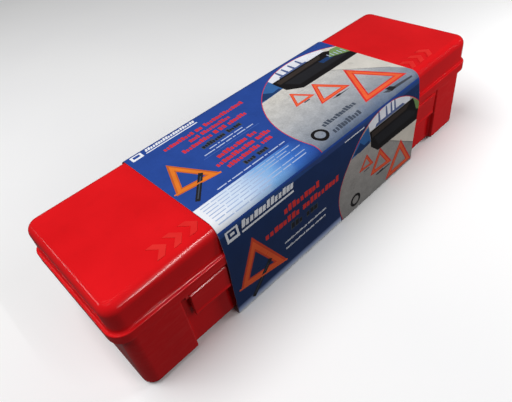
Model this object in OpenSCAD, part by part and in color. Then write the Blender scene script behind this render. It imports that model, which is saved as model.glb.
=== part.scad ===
// Roadside warning triangle kit: hinged plastic case, printed card sleeve
// and three folded reflective warning triangles. Millimetres.
// X runs along the case, Y from the front to the hinge side, Z up.

/* [Case] */
// length of the lid without its rim
case_len = 470; // [440:1:500]
// depth of the lid without its rim
case_dep = 135; // [125:1:150]
// height of the lid's top face
case_top = 111.4; // [100:0.1:125]
// height of the rim's lower edge
rim_low = 73; // [60:0.5:85]
// rim band height
rim_h = 10; // [6:0.5:14]
// how far the rim stands out at the front and back
rim_out = 3; // [1:0.1:5]
// how far the rim stands out at the ends
rim_end = 3; // [1:0.1:6]
// plan corner radius of the lid
lid_corner = 12; // [6:1:25]
// rounding between lid top and walls
lid_round = 9; // [3:0.5:14]
// plastic wall thickness
wall = 2.6; // [1.8:0.1:4]
// lowest plastic of the base, the sleeve runs under it
base_low = 0.9; // [0.8:0.1:3]
// base end walls sit this far inside the lid
base_inset = 2.7; // [2.7:0.1:5]
// front recess depth between the end columns
recess = 4.9; // [3:0.1:7]
// length of each end column
column = 53.7; // [40:0.1:70]
// registering tongue above the base rim
tongue_h = 5.5; // [3:0.5:10]
// plan corner radius of the base
base_corner = 11; // [8:1:14]
// rounding along the base's lower edge
base_foot = 4.5; // [3:0.5:9]
// height of the raised marks along the lid's front edge
mark_h = 16; // [8:1:20]
// spacing of the raised marks
mark_step = 15; // [12:0.5:18]

/* [Hinge] */
// hinge axis height
axis_z = 72; // [70:0.1:74]
// knuckle radius
knuckle_r = 3.2; // [2.6:0.1:4]
// hinge pin radius
pin_r = 1.5; // [1:0.05:2]
// radial running clearance
run_fit = 0.05; // [0.01:0.01:0.1]
// distance of each hinge from the middle
hinge_x = 182; // [150:1:210]

/* [Latches] */
// outer edge of each latch from the middle
latch_far = 174.1; // [160:0.1:190]
// inner edge of each latch from the middle
latch_near = 136.6; // [136.5:0.1:150]
// lowest edge of the latch
latch_low = 43.5; // [30:0.5:55]
// latch pivot radius
latch_pin_r = 1.2; // [0.8:0.05:1.5]
// latch barrel radius
latch_barrel = 2.7; // [2:0.1:3]
// how far the blade stands in front of the barrel
blade_proud = 1.4; // [0:0.1:1.6]

/* [Sleeve] */
// half width of the card sleeve
sleeve_half = 136; // [120:0.5:136]
// card thickness
card = 0.6; // [0.4:0.05:1]
// clearance between sleeve and rim
sleeve_gap = 0.3; // [0.2:0.05:1]

/* [Triangles] */
// length of each arm
arm_len = 444; // [432:1:448]
// width of each arm
arm_w = 57; // [50:1:60]
// spacing of the stored triangles
pitch = 40; // [38:0.5:40.5]
// arm carrier thickness
arm_t = 5; // [4:0.5:6]
// reflector thickness
reflex_t = 6.2; // [5:0.1:6.4]
// spacing between stacked arms
arm_step = 8; // [7:0.5:8.5]

/* [Hidden] */
$fn = 48;
hx = case_len / 2;
hy = case_dep / 2;
bx = hx - base_inset;
by = hy - 3.4;
fy = hy - 0.2;
ry = fy - recess;
col_x = hx - column;
rim_top = rim_low + rim_h;
latch_mid = (latch_far + latch_near) / 2;
base_top = rim_low - 0.2;
iy = ry - 2.5;
pin_y = -65.5;
pin_z = 67.2;
ear_y = 2.4;
floor_z = base_low + wall;
column_deck = 65.5;
shelf = 2.5;
sy = hy + rim_out + sleeve_gap;
hem_y = sy - 2.4;
tab_h = 16;
tray_top = 66;
red = [0.88, 0.10, 0.12];
blue = [0.16, 0.26, 0.6];
bright = [0.75, 0.75, 0.77];
black = [0.10, 0.10, 0.11];
// base knuckles and lid knuckle, each along X from the hinge's middle
base_knuckles = [[-29, -11.3], [11.3, 29]];
lid_knuckle = [-11, 11];
knuckle_l = 17.7;
// clear space round a knuckle, along X and outwards
knuckle_room = 11.3;
ear_t = 3;
ear_at = [-22.1, 19.1];
opening_w = 45.8;
rib_x = [-110 : 44 : 110];
lid_rib_x = [-150, -50, 50, 150];
rail_len = 410;
mark_x = 146;
mark_rise = 0.5;

module rslab(x, y, z0, z1, r) {
  translate([0, 0, z0]) linear_extrude(z1 - z0)
    offset(r) square([2 * (x - r), 2 * (y - r)], center = true);
}

// disc of radius r whose upper edge is rounded by e
module soft_disc(r, e) rotate_extrude($fn = 32) {
  square([r - e, e]);
  intersection() {
    translate([r - e, 0]) circle(e, $fn = 32);
    square([r, e]);
  }
}

// rounded block whose top edge is rounded by e
module domed(x, y, z0, z1, r, e) hull() {
  for (a = [-1, 1], b = [-1, 1])
    translate([a * (x - r), b * (y - r), z1 - e]) soft_disc(r, e);
  rslab(x, y, z0, z0 + 0.5, r);
}

// rounded block between y0 and y1 whose lower edge is rounded by e
module tub(x, y0, y1, z0, z1, r, e)
  translate([0, (y0 + y1) / 2, 0]) mirror([0, 0, 1]) domed(x, (y1 - y0) / 2, -z1, -z0, r, e);

module cyl_x(x0, x1, y, z, r) {
  translate([x0, y, z]) rotate([0, 90, 0]) cylinder(h = x1 - x0, r = r);
}

// knuckles of one hinge, s = -1 left or 1 right
module knuckles(s, spans)
  for (k = spans) cyl_x(s * hinge_x + k[0], s * hinge_x + k[1], hy, axis_z, knuckle_r);

module base_cavity() translate([0, (by - wall - iy) / 2, 0])
  rslab(bx - wall, (by - wall + iy) / 2, floor_z, 90, base_corner - wall);

module hinge_bore(s)
  cyl_x(s * hinge_x - 30, s * hinge_x + 30, hy, axis_z, pin_r + run_fit);

// the space behind each end column
module column_cavity() intersection() {
  translate([0, (by - fy) / 2, 0])
    rslab(bx - wall, (by + fy) / 2 - wall, floor_z, column_deck, base_corner - wall);
  for (s = [-1, 1]) translate([s > 0 ? col_x + wall : -bx, -fy, 0])
    cube([bx - col_x - wall, 20, 90]);
}

module base_tongue() difference() {
  translate([0, (by - ry) / 2, 0])
    rslab(hx - wall - 0.8, (by + ry) / 2, base_top - 1, base_top + tongue_h, base_corner - 0.5);
  base_cavity();
}

module case_base() color(red) difference() {
  union() {
    difference() {
      tub(bx, -fy, by, base_low, base_top, base_corner, base_foot);
      // front recess between the columns
      translate([-col_x, -fy - 5, -1]) cube([2 * col_x, 5 + recess, base_top - shelf + 1]);
      // latch openings through the rim shelf
      for (s = [-1, 1]) translate([s * latch_mid - opening_w / 2, -fy - 5, 20])
        cube([opening_w, 5 + recess, 60]);
      base_cavity();
      column_cavity();
    }
    base_tongue();
    // floor rails between the triangles
    for (y = [-pitch / 2, pitch / 2])
      translate([-rail_len / 2, y + 0.6 - 1, floor_z - 0.2]) cube([rail_len, 2, 8.2]);
    // hinge knuckles on their webs
    for (s = [-1, 1]) {
      knuckles(s, base_knuckles);
      for (k = base_knuckles) translate([s * hinge_x + k[0], by - 1, axis_z - knuckle_r])
        cube([knuckle_l, hy - by + 1, 2.6]);
    }
    // stiffening ribs on the front recess
    for (x = rib_x) translate([x - 1.5, -ry - 1.6, 12]) cube([3, 2, 50]);
  }
  for (s = [-1, 1]) {
    hinge_bore(s);
    // room for the lid's knuckle
    cyl_x(s * hinge_x - knuckle_room, s * hinge_x + knuckle_room, hy, axis_z, knuckle_r + 0.15);
  }
}

// raised generic chevrons along the lid's front edge
module lid_marks() {
  w = mark_h * 7 / 16;
  h = mark_h / 2;
  for (s = [-1, 1], i = [0 : 2])
    translate([s * (mark_x + i * mark_step), -hy + lid_round + h + 0.5, case_top - 0.3])
      linear_extrude(mark_rise + 0.3)
        polygon([[-w, -h], [0, -h], [w, 0], [0, h], [-w, h], [0, 0]]);
}

module lid_cavity() hull() {
  rslab(hx - wall, hy - wall, rim_low - 1, case_top - lid_round, lid_corner - wall);
  rslab(hx - wall - 4, hy - wall - 4, rim_low - 1, case_top - wall, lid_corner - wall);
}

module case_lid() color(red) difference() {
  union() {
    difference() {
      union() {
        domed(hx, hy, rim_low, case_top, lid_corner, lid_round);
        rslab(hx + rim_end, hy + rim_out, rim_low, rim_top, lid_corner + rim_out);
        lid_marks();
      }
      lid_cavity();
      // room for the base's knuckles
      for (s = [-1, 1], k = [-31.5, 11])
        cyl_x(s * hinge_x + k, s * hinge_x + k + 20.5, hy, axis_z, knuckle_r + 0.35);
    }
    for (s = [-1, 1]) knuckles(s, [lid_knuckle]);
    // latch ears under the rim
    for (s = [-1, 1], k = ear_at) translate([s * latch_mid + k, pin_y - ear_y, pin_z - ear_y])
      cube([ear_t, 2 * ear_y, rim_low - pin_z + ear_y + 1]);
    // stiffening ribs under the top
    for (x = lid_rib_x) translate([x - 1.2, -hy + 2, case_top - 7]) cube([2.4, case_dep - 4, 5]);
  }
  for (s = [-1, 1]) {
    hinge_bore(s);
    cyl_x(s * latch_mid - 25, s * latch_mid + 25, pin_y, pin_z, latch_pin_r + run_fit);
  }
}

// headed pin, its head towards the case's end
module hinge_pin(s) color(bright) {
  half = base_knuckles[1][1];
  head = 1.2;
  cyl_x(s * hinge_x - half, s * hinge_x + half, hy, axis_z, pin_r);
  x0 = s * hinge_x + (s > 0 ? half : -half - head);
  cyl_x(x0, x0 + head, hy, axis_z, pin_r + 0.9);
}
module hinge_pin_left() hinge_pin(-1);
module hinge_pin_right() hinge_pin(1);

// pull-down tab: barrel round the pin, thick blade with a bevelled shoulder, lip and bead
module latch(s) color(red) {
  x0 = s > 0 ? latch_near : -latch_far;
  w = latch_far - latch_near;
  front = pin_y - latch_barrel - blade_proud;
  back = pin_y - 0.1;
  difference() {
    union() {
      cyl_x(x0, x0 + w, pin_y, pin_z, latch_barrel);
      translate([x0, 0, 0]) rotate([90, 0, 90]) linear_extrude(w)
        polygon([[front + 1, latch_low], [back, latch_low], [back, pin_z + 2.2],
          [front + 1.2, pin_z + 2.2], [front, pin_z + 1]]);
      translate([x0, front + 0.15, latch_low]) cube([w, 1.2, 2.4]);
      translate([x0 + 4, back - 0.2, latch_low + 5]) cube([w - 8, 1.4, 3]);
    }
    cyl_x(x0 - 1, x0 + w + 1, pin_y, pin_z, latch_pin_r + run_fit);
  }
}
module latch_left() latch(-1);
module latch_right() latch(1);

module latch_pin(s) color(bright)
  cyl_x(s * latch_mid - 22, s * latch_mid + 22, pin_y, pin_z, latch_pin_r);
module latch_pin_left() latch_pin(-1);
module latch_pin_right() latch_pin(1);

// points round one top bend, s = -1 front or 1 back
function bend(s, r) = [for (a = [83 : -11.857 : 0])
  [s * (hy - lid_round + r * sin(a)), case_top - lid_round + r * cos(a)]];
function rev(v) = [for (i = [len(v) - 1 : -1 : 0]) v[i]];
// the cover's section, t outside the card's inner face
function cover_line(t) = concat(
  [[sy + t, rim_low + 2], [sy + t, rim_top + 0.2]],
  bend(1, lid_round + 1 + t), rev(bend(-1, lid_round + 1 + t)),
  [[-sy - t, rim_top + 0.2], [-sy - t, rim_low - 0.2], [-hem_y - t, 0.8]]);

module along_sleeve()
  rotate([90, 0, 90]) translate([0, 0, -sleeve_half]) linear_extrude(2 * sleeve_half) children();

module sleeve_cover() color(blue)
  along_sleeve() polygon(concat(cover_line(0), rev(cover_line(card))));

module sleeve_tray() color(blue) along_sleeve()
  polygon([[sy, tray_top], [sy + card, tray_top], [sy + card, 0], [-hem_y, 0],
    [-hem_y + 0.2, tab_h], [-hem_y + 0.2 + card, tab_h], [-hem_y + 0.1 + card, card],
    [sy, card]]);

// ---- stored triangle, local frame: centred, z = 0 on the case floor ----
leg_t = 5;
leg_z = [1.7, 7.0];
leg_len = 362;
blk_low = 12.3;
blk_len = 148;
arm_low = 27;
arm_mid = arm_low + arm_w / 2;
piv_x = arm_len / 2 - 15;
win_x = 192;
win_h = 22.5;
low_win = 3.5;
high_win = arm_w / 2 + 2.5;
panel_t = 3.2;
bore_r = 3.05;

module place(n) translate([0, 0.6 + (n - 2) * pitch, floor_z]) children();

// flat arm with two window rows
module carrier(y) translate([0, y + arm_t / 2, arm_mid]) rotate([90, 0, 0])
  linear_extrude(arm_t) difference() {
    offset(10) square([arm_len - 20, arm_w - 20], center = true);
    for (z = [low_win, high_win])
      translate([-win_x, z - arm_w / 2]) square([2 * win_x, win_h]);
  }
// lens strip that fills a window, t thick
module strip(y, z, t)
  translate([-win_x + 0.1, y - t / 2, z + 0.1]) cube([2 * win_x - 0.2, t, win_h - 0.2]);
module low_strip(y, t) strip(y, arm_low + low_win, t);
module high_strip(y, t) strip(y, arm_low + high_win, t);
module hole_y(x, y, r)
  translate([x, y + 6, arm_mid]) rotate([90, 0, 0]) cylinder(h = 12, r = r);

module tri_base(n) color(black) place(n) difference() {
  union() {
    carrier(0);
    translate([-blk_len / 2, -13, blk_low]) cube([blk_len, 26, 12.2]);
    translate([-70, -arm_t / 2, blk_low + 12]) cube([140, arm_t, arm_low - blk_low - 11]);
  }
  for (s = [-1, 1]) hole_y(s * piv_x, 0, bore_r);
  translate([0, 0, blk_low - 1]) cylinder(h = 10, r = bore_r);
  // pocket for the steel ballast plates
  for (s = [-1, 1]) translate([s * 42 - 26, -10, blk_low - 1]) cube([52, 20, 9]);
}
module tri_ballast(n) color([0.45, 0.46, 0.48]) place(n)
  for (s = [-1, 1]) translate([s * 42 - 25.8, -9.8, blk_low + 0.2]) cube([51.6, 19.6, 7.6]);
module leg(n, level) color(black) place(n) translate([0, 0, leg_z[level]]) difference() {
  union() {
    linear_extrude(leg_t) offset(6.5) square([leg_len, 1], center = true);
    cylinder(h = leg_t, r = 11);
  }
  translate([0, 0, -1]) cylinder(h = leg_t + 2, r = bore_r);
}
module tri_leg_bolt(n) color(bright) place(n) {
  cylinder(h = 1.6, r = 6);
  cylinder(h = blk_low + 8.5, r = 3);
}
module tri_arm(n, s) color([0.92, 0.92, 0.90]) place(n) difference() {
  carrier(s * arm_step);
  hole_y(s * piv_x, s * arm_step, bore_r);
  hole_y(-s * piv_x, s * arm_step, bore_r + 1);
}
module rivet(n, s) color(bright) place(n)
  translate([s * piv_x, 0, arm_mid]) rotate([s > 0 ? -90 : 90, 0, 0]) {
    translate([0, 0, -4.3]) cylinder(h = 1.7, r = 5);
    translate([0, 0, -3]) cylinder(h = arm_step + arm_t / 2 + 3.2, r = 3);
    translate([0, 0, arm_step + arm_t / 2 + 0.1]) cylinder(h = 1.5, r = 5);
  }
module tri_stud(n) color(black) place(n)
  translate([piv_x, -arm_step, arm_mid]) rotate([90, 0, 0]) {
    translate([0, 0, -arm_t / 2 - 1]) cylinder(h = arm_t + 2, r = 4);
    translate([0, 0, arm_t / 2 + 0.1]) cylinder(h = 1.8, r = 6.5);
  }
rx = [0.85, 0.05, 0.06];
og = [1, 0.42, 0.05];

module t1_base() tri_base(1);
module t1_ballast() tri_ballast(1);
module t1_leg_lower() leg(1, 0);
module t1_leg_upper() leg(1, 1);
module t1_leg_bolt() tri_leg_bolt(1);
module t1_bottom_reflector() color(rx) place(1) low_strip(0, reflex_t);
module t1_bottom_panel() color(og) place(1) high_strip(0, panel_t);
module t1_left_arm() tri_arm(1, -1);
module t1_left_reflector() color(rx) place(1) high_strip(-arm_step, reflex_t);
module t1_left_panel() color(og) place(1) low_strip(-arm_step, panel_t);
module t1_right_arm() tri_arm(1, 1);
module t1_right_reflector() color(rx) place(1) high_strip(arm_step, reflex_t);
module t1_right_panel() color(og) place(1) low_strip(arm_step, panel_t);
module t1_left_rivet() rivet(1, -1);
module t1_right_rivet() rivet(1, 1);
module t1_apex_stud() tri_stud(1);
module t2_base() tri_base(2);
module t2_ballast() tri_ballast(2);
module t2_leg_lower() leg(2, 0);
module t2_leg_upper() leg(2, 1);
module t2_leg_bolt() tri_leg_bolt(2);
module t2_bottom_reflector() color(rx) place(2) low_strip(0, reflex_t);
module t2_bottom_panel() color(og) place(2) high_strip(0, panel_t);
module t2_left_arm() tri_arm(2, -1);
module t2_left_reflector() color(rx) place(2) high_strip(-arm_step, reflex_t);
module t2_left_panel() color(og) place(2) low_strip(-arm_step, panel_t);
module t2_right_arm() tri_arm(2, 1);
module t2_right_reflector() color(rx) place(2) high_strip(arm_step, reflex_t);
module t2_right_panel() color(og) place(2) low_strip(arm_step, panel_t);
module t2_left_rivet() rivet(2, -1);
module t2_right_rivet() rivet(2, 1);
module t2_apex_stud() tri_stud(2);
module t3_base() tri_base(3);
module t3_ballast() tri_ballast(3);
module t3_leg_lower() leg(3, 0);
module t3_leg_upper() leg(3, 1);
module t3_leg_bolt() tri_leg_bolt(3);
module t3_bottom_reflector() color(rx) place(3) low_strip(0, reflex_t);
module t3_bottom_panel() color(og) place(3) high_strip(0, panel_t);
module t3_left_arm() tri_arm(3, -1);
module t3_left_reflector() color(rx) place(3) high_strip(-arm_step, reflex_t);
module t3_left_panel() color(og) place(3) low_strip(-arm_step, panel_t);
module t3_right_arm() tri_arm(3, 1);
module t3_right_reflector() color(rx) place(3) high_strip(arm_step, reflex_t);
module t3_right_panel() color(og) place(3) low_strip(arm_step, panel_t);
module t3_left_rivet() rivet(3, -1);
module t3_right_rivet() rivet(3, 1);
module t3_apex_stud() tri_stud(3);

case_base();
case_lid();
hinge_pin_left();
hinge_pin_right();
latch_left();
latch_right();
latch_pin_left();
latch_pin_right();
sleeve_cover();
sleeve_tray();
t1_base();
t1_ballast();
t1_leg_lower();
t1_leg_upper();
t1_leg_bolt();
t1_bottom_reflector();
t1_bottom_panel();
t1_left_arm();
t1_left_reflector();
t1_left_panel();
t1_right_arm();
t1_right_reflector();
t1_right_panel();
t1_left_rivet();
t1_right_rivet();
t1_apex_stud();
t2_base();
t2_ballast();
t2_leg_lower();
t2_leg_upper();
t2_leg_bolt();
t2_bottom_reflector();
t2_bottom_panel();
t2_left_arm();
t2_left_reflector();
t2_left_panel();
t2_right_arm();
t2_right_reflector();
t2_right_panel();
t2_left_rivet();
t2_right_rivet();
t2_apex_stud();
t3_base();
t3_ballast();
t3_leg_lower();
t3_leg_upper();
t3_leg_bolt();
t3_bottom_reflector();
t3_bottom_panel();
t3_left_arm();
t3_left_reflector();
t3_left_panel();
t3_right_arm();
t3_right_reflector();
t3_right_panel();
t3_left_rivet();
t3_right_rivet();
t3_apex_stud();
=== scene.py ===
"""Roadside warning triangle kit: hinged red case, printed card sleeve and three folded triangles.

X runs along the case, Y from the front to the hinge side, Z up. Helper functions take
millimetres. The sleeve's print is drawn on a flat sheet, at (x, s): x across it and s along the
folded card from its front foot, over the top and down the back.
"""
import math

import bmesh
import bpy
from mathutils import Matrix, Vector
from mathutils.geometry import delaunay_2d_cdt


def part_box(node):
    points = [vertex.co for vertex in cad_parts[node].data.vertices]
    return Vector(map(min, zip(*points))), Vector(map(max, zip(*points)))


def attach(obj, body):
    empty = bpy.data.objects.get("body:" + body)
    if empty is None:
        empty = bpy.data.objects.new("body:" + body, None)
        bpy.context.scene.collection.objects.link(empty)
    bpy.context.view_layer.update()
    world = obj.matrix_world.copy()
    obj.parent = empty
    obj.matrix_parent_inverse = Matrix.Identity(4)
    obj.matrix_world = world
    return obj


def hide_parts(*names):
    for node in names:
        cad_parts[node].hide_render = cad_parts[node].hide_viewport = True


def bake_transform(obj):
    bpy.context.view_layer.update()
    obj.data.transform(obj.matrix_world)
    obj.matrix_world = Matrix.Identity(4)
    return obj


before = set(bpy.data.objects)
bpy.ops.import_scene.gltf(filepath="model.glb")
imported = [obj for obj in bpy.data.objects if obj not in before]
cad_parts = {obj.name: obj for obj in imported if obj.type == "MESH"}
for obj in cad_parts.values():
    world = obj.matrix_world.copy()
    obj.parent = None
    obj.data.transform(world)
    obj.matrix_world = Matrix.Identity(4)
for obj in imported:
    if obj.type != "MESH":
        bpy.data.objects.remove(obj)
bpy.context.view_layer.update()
MM = 0.001


def box_mm(node):
    """Lowest and highest corner of a CAD node, in millimetres."""
    low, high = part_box(node)
    return low / MM, high / MM


# ---- sizes that the case, latches and sleeve share ----
lid_low, lid_high = box_mm("case_lid")
base_low, base_high = box_mm("case_base")
latch_low, latch_high = box_mm("latch_right")
tray_low = box_mm("sleeve_tray")[0]
cover_high = box_mm("sleeve_cover")[1]

RIM_OUT = 3.0
LID_X = lid_high.x - RIM_OUT
LID_Y = -lid_low.y - RIM_OUT
RIM_LOW = 73.0
RIM_TOP = 83.0
RIM_SHOULDER = 1.0
RIM_HOLLOW = 2.0
CASE_TOP = 111.4
LID_CORNER = 12.0
LID_ROUND = 9.0
WALL = 2.6
BASE_LOW = base_low.z
BASE_X = base_high.x
BASE_FRONT = base_low.y
BASE_BACK = 64.1
BASE_TOP = 72.8
BASE_CORNER = 11.0
BASE_FOOT = 4.5
RECESS = 4.9
RECESS_Y = BASE_FRONT + RECESS
COLUMN_X = 181.3
COLUMN_ROUND = 1.6
TONGUE_X = 231.6
TONGUE_TOP = 78.3
FLOOR_Z = 3.5
FLOOR_FILLET = 3.0
SHELF_LOW = 70.3
SHELF_X = 132.2
SHELF_END_X = 178.4
RECESS_RIBS = [-110 + 44 * i for i in range(6)]
RECESS_RIB_Z = (12, 62)
RAILS_Y = (-19.4, 20.6)
RAIL_X = 205
HINGE_X = 182.0
HINGE_Y = 67.5
HINGE_Z = 72.0
KNUCKLE_R = 3.2
KNUCKLE_ROOM = 0.35
BASE_KNUCKLES = (-29.0, 11.3)
BASE_KNUCKLE_LONG = 17.7
LID_KNUCKLE_HALF = 11
LID_NOTCHES = (-31.5, 11.0)
LID_NOTCH_LONG = 20.5
LID_RIBS = (-150, -50, 50, 150)
LATCH_MID = (latch_low.x + latch_high.x) / 2
LATCH_HALF = (latch_high.x - latch_low.x) / 2
PIN_Y = -65.5
PIN_Z = 67.2
# (y, z) from the blade's front foot: the out-turned finger lip
LATCH_LIP = [(0, 4.0), (-0.2, 3.0), (-0.6, 2.3), (-0.75, 1.6), (-0.75, 0.7), (-0.5, 0.2), (-0.1, 0)]
# (y, z) from the blade's back foot: its edge and the bead above
LATCH_BEAD = [(-0.6, 0), (-0.1, 0.3), (0, 1.0), (0, 4.9), (0.9, 5.3), (1.2, 6.4), (0.9, 7.6),
              (0, 8.1)]
EAR_R = 2.4
EARS = (-22.1, 19.1)
EAR_THICK = 3
EAR_TOP = 74.0
CHEVRON = [(-7, -8), (0, -8), (7, 0), (0, 8), (-7, 8), (0, 0)]
CHEVRONS_X = (146, 161, 176)
CHEVRONS_Y = -50
CHEVRON_RISE = 0.5
CARD = 0.6
SLEEVE_X = cover_high.x
SEAM_Z = 62.0
ARC_STEPS = 8
SHARP_ANGLE = math.radians(38)


# ---- colours ----
def linear(red, green, blue):
    """A linear colour from display values of 0 to 255."""
    out = []
    for value in (red, green, blue):
        c = value / 255
        out.append(c / 12.92 if c <= 0.04045 else ((c + 0.055) / 1.055) ** 2.4)
    return (*out, 1.0)


DISPLAY_INKS = {
    "blue": (42, 74, 152),
    "navy": (34, 54, 98),
    "bend_blue": (46, 76, 134),
    "navy_light": (50, 70, 124),
    "red": (214, 52, 60),
    "front_red": (226, 58, 56),
    "orange": (230, 124, 42),
    "orange_deep": (196, 98, 44),
    "front_orange": (244, 100, 54),
    "front_deep": (216, 74, 46),
    "signal": (226, 50, 44),
    "signal_core": (240, 104, 60),
    "white": (238, 240, 246),
    "pale": (190, 202, 228),
    "fine_print": (166, 184, 218),
    "rule": (78, 112, 188),
    "grey_dark": (70, 78, 92),
    "charcoal": (38, 38, 42),
    "soot": (26, 24, 26),
    "brown": (58, 50, 46),
    "cab_blue": (56, 104, 164),
    "cab_deep": (34, 62, 108),
    "sky": (236, 238, 246),
    "steel_blue": (88, 104, 150),
    "grass": (120, 150, 92),
    "road": (176, 178, 182),
    "road_low": (104, 120, 146),
    "concrete": (214, 210, 202),
    "crack": (120, 118, 120),
    "shadow": (72, 74, 82),
    "front_road": (178, 172, 168),
    "front_concrete": (226, 218, 206),
}
INKS = {name: linear(*tone) for name, tone in DISPLAY_INKS.items()}


# ---- node trees ----
class Shade:
    """Builds one node material around a Principled shader."""

    def __init__(self, name):
        self.material = bpy.data.materials.new(name)
        self.material.use_nodes = True
        self.tree = self.material.node_tree
        self.tree.nodes.clear()
        self.shader = self.node("BsdfPrincipled")
        self.node("OutputMaterial", {"Surface": self.shader.outputs[0]})
        self.place = self.node("TexCoord").outputs["Object"]

    def node(self, kind, values=(), **settings):
        made = self.tree.nodes.new("ShaderNode" + kind)
        for key, value in settings.items():
            setattr(made, key, value)
        return self.feed(made, dict(values))

    def feed(self, node, values):
        """Links or sets inputs of a node, by name or number."""
        for key, value in values.items():
            if isinstance(value, bpy.types.NodeSocket):
                self.tree.links.new(value, node.inputs[key])
            else:
                node.inputs[key].default_value = value
        return node

    def set(self, **values):
        """Sets numbers on the shader itself."""
        self.feed(self.shader, {key.replace("_", " "): v for key, v in values.items()})

    def stretched(self, scale):
        """Place with its X scaled, which draws a texture out along X."""
        values = {"Scale": (scale, 1.0, 1.0), "Vector": self.place}
        return self.node("Mapping", values).outputs[0]

    def sheet_place(self):
        """Position on the flat sheet, in metres."""
        return self.node("UVMap", uv_map="sheet").outputs[0]

    def noise(self, scale, detail=3.0, rough=0.5, place=None):
        values = {"Scale": scale, "Detail": detail, "Roughness": rough}
        return self.node("TexNoise", {**values, "Vector": place or self.place}).outputs["Fac"]

    def cells(self, scale, randomness):
        values = {"Scale": scale, "Randomness": randomness, "Vector": self.place}
        return self.node("TexVoronoi", values).outputs["Distance"]

    def ramp(self, factor, stops):
        made = self.node("ValToRGB", {"Fac": factor})
        points = made.color_ramp.elements
        while len(points) < len(stops):
            points.new(0.5)
        for point, (where, colour) in zip(points, stops):
            point.position = where
            point.color = colour
        return made.outputs["Color"]

    def between(self, factor, low=0.0, high=1.0, start=0.3, end=0.7):
        """Maps start..end onto low..high, clamped."""
        values = {"From Min": start, "From Max": end, "To Min": low, "To Max": high}
        return self.node("MapRange", {**values, "Value": factor}).outputs["Result"]

    def mix(self, factor, a, b, mode="MIX"):
        values = {0: factor, 6: a, 7: b}
        return self.node("Mix", values, data_type="RGBA", blend_type=mode).outputs[2]

    def calc(self, operation, a, b):
        return self.node("Math", {0: a, 1: b}, operation=operation).outputs[0]

    def tinted(self, colour, factor):
        """A colour multiplied by one number."""
        grey = self.node("CombineColor", {0: factor, 1: factor, 2: factor}).outputs[0]
        return self.mix(1.0, colour, grey, "MULTIPLY")

    def bump(self, height, strength, distance, before=None):
        values = {"Strength": strength, "Distance": distance, "Height": height}
        if before:
            values["Normal"] = before
        return self.node("Bump", values).outputs[0]

    def finish(self, *looks):
        """Feeds colour, roughness and normal, in this order, as far as they are given."""
        self.feed(self.shader, dict(zip(("Base Color", "Roughness", "Normal"), looks)))
        return self.material


def case_red():
    """Glossy moulded red with slow colour drift, flow waviness and faint pale convex edges, partly
    rub wear and partly painted highlight.
    """
    s = Shade("case_red")
    drift = s.between(s.noise(14.0, 2.0))
    base = s.mix(drift, linear(219, 17, 23), linear(234, 22, 29))
    speck = s.between(s.noise(110.0, 2.0), 0.0, 0.10, 0.5, 0.8)
    base = s.mix(speck, base, linear(176, 14, 20))
    # pale pink on convex edges, broken up by streaky noise: partly rub wear, partly a painted
    # highlight along the edges
    scuff_and_sheen_noise = s.noise(260.0, 6.0, 0.7, s.stretched(0.25))
    edge = s.between(s.node("NewGeometry").outputs["Pointiness"], start=0.52, end=0.60)
    rub_and_edge_sheen = s.calc("MULTIPLY", edge, s.between(scuff_and_sheen_noise, 0.0, 0.5, 0.45, 0.7))
    base = s.mix(rub_and_edge_sheen, base, linear(240, 96, 92))
    smear = s.noise(30.0, 2.0, 0.5, s.stretched(0.5))
    rough = s.between(smear, 0.12, 0.18)
    grain = s.bump(s.noise(500.0, 2.0), 0.02, 0.0002)
    wave = s.bump(s.noise(9.0, 1.0), 0.15, 0.0006, grain)
    s.set(IOR=1.50, Specular_IOR_Level=0.6)
    return s.finish(base, rough, wave)


def frosted_red():
    """The same plastic where the mould was spark-eroded: paler, matt and finely pitted."""
    s = Shade("case_red_frosted")
    cloud = s.between(s.noise(40.0, 2.0))
    tone = s.mix(cloud, linear(220, 36, 36), linear(230, 50, 46))
    pits = s.noise(1500.0, 2.0)
    rough = s.between(pits, 0.42, 0.58)
    s.set(IOR=1.48, Specular_IOR_Level=0.3)
    return s.finish(tone, rough, s.bump(pits, 0.2, 0.0002))


def moulded(name, low, high, *gloss):
    """Plain moulded plastic: two close tones, a little dust, uneven gloss and a fine grain."""
    s = Shade(name)
    tone = s.mix(s.between(s.noise(26.0, 4.0, 0.6)), low, high)
    dust = s.between(s.noise(420.0, 3.0), 0.0, 0.25, 0.55, 0.8)
    tone = s.mix(dust, tone, linear(150, 146, 140))
    rough = s.between(s.noise(60.0, 5.0, 0.6), *gloss)
    fine = s.bump(s.noise(900.0, 3.0), 0.12, 0.0002)
    s.set(IOR=1.49)
    return s.finish(tone, rough, fine)


def metal(name, low, high, *gloss, stain=None):
    """Plated or bare metal with cloudy plating and fine drawn scratches."""
    s = Shade(name)
    cloud = s.noise(120.0, 4.0, 0.6)
    tone = s.mix(s.between(cloud), low, high)
    if stain:
        spots = s.between(s.noise(210.0, 6.0, 0.7), 0.0, 0.85, 0.52, 0.72)
        tone = s.mix(spots, tone, stain)
    streak = s.noise(1400.0, 3.0, 0.5, s.stretched(0.06))
    rough = s.between(streak, *gloss)
    s.set(Metallic=1.0)
    return s.finish(tone, rough, s.bump(streak, 0.10, 0.0001))


def prism_lens(name, dark, light, cell, gloss):
    """Reflective or fluorescent lens strip: a grid of small prisms under a clear face.
    The cell is in metres."""
    s = Shade(name)
    grid = s.cells(1.0 / cell, 0.0)
    facet = s.cells(2.0 / cell, 0.35)
    tone = s.ramp(grid, [(0.12, light), (0.38, dark), (0.60, light)])
    tone = s.mix(s.between(s.noise(50.0, 3.0), 0.0, 0.35), tone, dark)
    rough = s.between(s.noise(80.0, 4.0, 0.6), gloss, gloss + 0.12)
    ribs = s.bump(facet, 0.5, 0.0004)
    ribs = s.bump(grid, 0.6, 0.0006, ribs)
    s.set(IOR=1.49, Coat_Weight=0.7, Coat_Roughness=0.08)
    return s.finish(tone, rough, ribs)


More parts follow.
